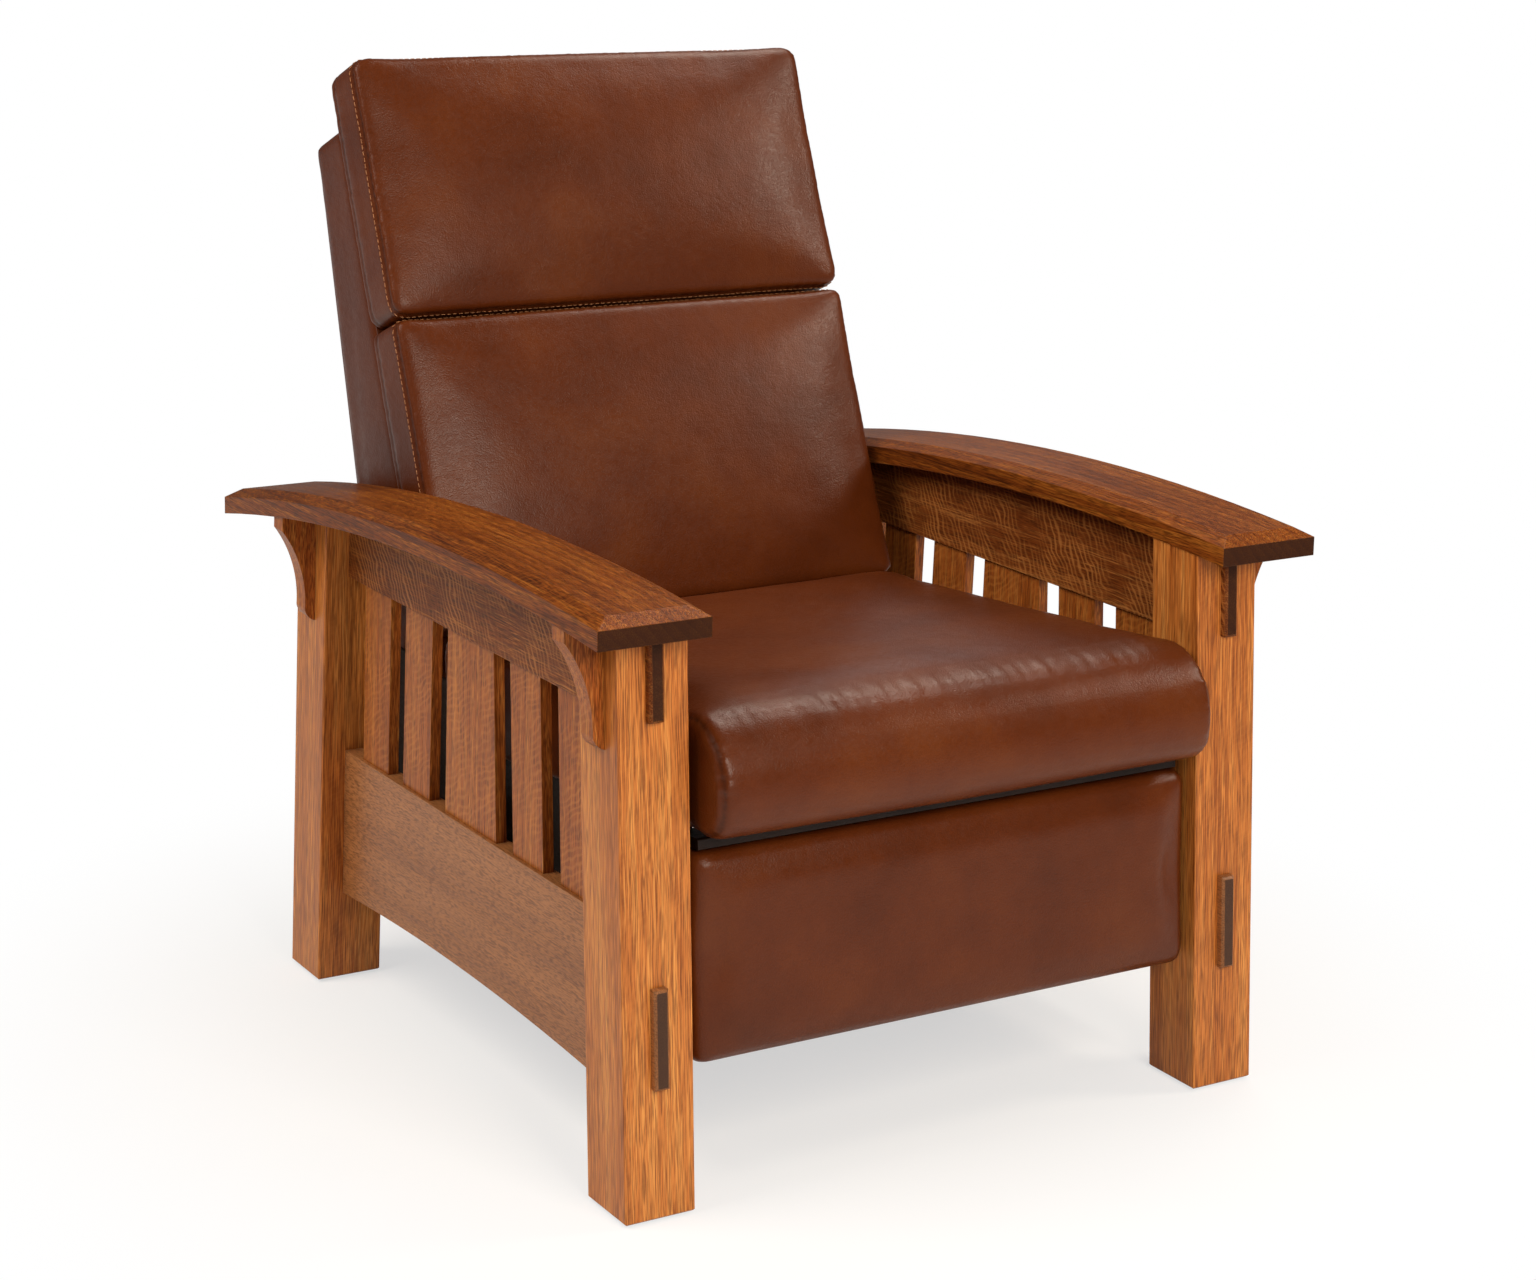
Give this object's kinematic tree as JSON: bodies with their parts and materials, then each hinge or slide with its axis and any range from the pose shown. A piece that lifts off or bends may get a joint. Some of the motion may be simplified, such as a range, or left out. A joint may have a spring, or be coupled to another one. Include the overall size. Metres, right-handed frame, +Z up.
{
  "type": "mission reclining armchair",
  "caption": "Mission-style reclining armchair with slatted oak sides, bowed wooden arms, leather cushions, a leaning back and a footrest that swings out from under the seat.",
  "frame": {"origin": "on the floor, under the middle of the whole chair's outer box with the back upright and the footrest closed", "axes": "+Z up, the chair faces -Y, +X to the right as seen from the front"},
  "size_m": [0.8416, 0.9618, 1.0254],
  "materials": {
    "stained_oak": "satin lacquer",
    "frame_wood": "unfinished",
    "leather": "semi-gloss, fine grain",
    "glide_plastic": "matt",
    "spring_steel": "oiled",
    "fastener_steel": "zinc plated",
    "mechanism_steel": "black satin"
  },
  "bodies": {
    "side_frames": {"arm_dowels": "frame_wood", "arm_left": "stained_oak", "arm_right": "stained_oak", "base_rail_left": "mechanism_steel", "base_rail_right": "mechanism_steel", "corbel_front_left": "stained_oak", "corbel_front_right": "stained_oak", "corbel_rear_left": "stained_oak", "corbel_rear_right": "stained_oak", "leg_front_left": "stained_oak", "leg_front_right": "stained_oak", "leg_rear_left": "stained_oak", "leg_rear_right": "stained_oak", "lower_side_rail_left": "stained_oak", "lower_side_rail_right": "stained_oak", "slats_left": "stained_oak", "slats_right": "stained_oak", "upper_side_rail_left": "stained_oak", "upper_side_rail_right": "stained_oak", "front_stretcher": "frame_wood", "rear_stretcher": "frame_wood", "corner_blocks": "frame_wood", "floor_glides": "glide_plastic", "frame_screws": "fastener_steel", "base_pivot_pins": "fastener_steel"},
    "swing_front": {"swing_links_front": "mechanism_steel"},
    "swing_rear": {"swing_links_rear": "mechanism_steel"},
    "seat": {"seat_side_rail_left": "frame_wood", "seat_side_rail_right": "frame_wood", "seat_front_rail": "frame_wood", "seat_rear_rail": "frame_wood", "seat_springs": "spring_steel", "seat_plate_left": "mechanism_steel", "seat_plate_right": "mechanism_steel", "seat_plate_bolts": "fastener_steel", "seat_pivot_pins": "fastener_steel", "seat_cushion": "leather"},
    "back": {"back_stile_left": "frame_wood", "back_stile_right": "frame_wood", "back_top_rail": "frame_wood", "back_bottom_rail": "frame_wood", "back_springs": "spring_steel", "back_cover": "leather", "back_brackets": "mechanism_steel", "back_bracket_bolts": "fastener_steel", "lumbar_cushion": "leather", "headrest_cushion": "leather"},
    "footrest_front": {"footrest_front_links": "mechanism_steel", "footrest_torque_tube": "mechanism_steel", "footrest_front_link_pins": "fastener_steel"},
    "footrest_rear": {"footrest_rear_links": "mechanism_steel", "footrest_rear_link_pins": "fastener_steel"},
    "footrest_coupler": {"footrest_couplers": "mechanism_steel", "footrest_coupler_pins": "fastener_steel"},
    "footrest_upper": {"footrest_upper_links": "mechanism_steel"},
    "footrest": {"footrest_board": "frame_wood", "footrest_pad": "leather", "footrest_brackets": "mechanism_steel", "footrest_bracket_pins": "fastener_steel", "footrest_bracket_screws": "fastener_steel"}
  },
  "joints": [
    {"name": "swing_front_turn", "type": "hinge", "parent": "side_frames", "child": "swing_front", "pos_m": [0, -0.1108, 0.203], "axis": [1, 0, 0], "range_deg": [0, 40]},
    {"name": "swing_rear_turn", "type": "hinge", "parent": "side_frames", "child": "swing_rear", "pos_m": [0, 0.1342, 0.203], "axis": [1, 0, 0], "range_deg": [0, 40]},
    {"name": "seat_float", "type": "hinge", "parent": "swing_front", "child": "seat", "pos_m": [0, -0.08002, 0.28757], "axis": [1, 0, 0], "range_deg": [-40, 0]},
    {"name": "back_recline", "type": "hinge", "parent": "seat", "child": "back", "pos_m": [0, 0.1662, 0.322], "axis": [-1, 0, 0], "range_deg": [0, 32]},
    {"name": "footrest_open", "type": "hinge", "parent": "seat", "child": "footrest_front", "pos_m": [0, -0.3408, 0.328], "axis": [-1, 0, 0], "range_deg": [0, 90]},
    {"name": "footrest_rear_turn", "type": "hinge", "parent": "seat", "child": "footrest_rear", "pos_m": [0, -0.2808, 0.33], "axis": [-1, 0, 0], "range_deg": [0, 90]},
    {"name": "footrest_coupler_turn", "type": "hinge", "parent": "footrest_front", "child": "footrest_coupler", "pos_m": [0, -0.2483, 0.16778], "axis": [-1, 0, 0], "range_deg": [-90, 0]},
    {"name": "footrest_upper_turn", "type": "hinge", "parent": "footrest_front", "child": "footrest_upper", "pos_m": [0, -0.2333, 0.11578], "axis": [-1, 0, 0], "range_deg": [-90, 0]},
    {"name": "footrest_board_turn", "type": "hinge", "parent": "footrest_coupler", "child": "footrest", "pos_m": [0, -0.3683, 0.286], "axis": [-1, 0, 0], "range_deg": [0, 90]}
  ],
  "couplings": [
    {"joint": "swing_front_turn", "follows": "back_recline", "ratio": 1.25},
    {"joint": "swing_rear_turn", "follows": "back_recline", "ratio": 1.25},
    {"joint": "seat_float", "follows": "back_recline", "ratio": -1.25},
    {"joint": "footrest_rear_turn", "follows": "footrest_open", "ratio": 1},
    {"joint": "footrest_coupler_turn", "follows": "footrest_open", "ratio": -1},
    {"joint": "footrest_upper_turn", "follows": "footrest_open", "ratio": -1},
    {"joint": "footrest_board_turn", "follows": "footrest_open", "ratio": 1}
  ]
}
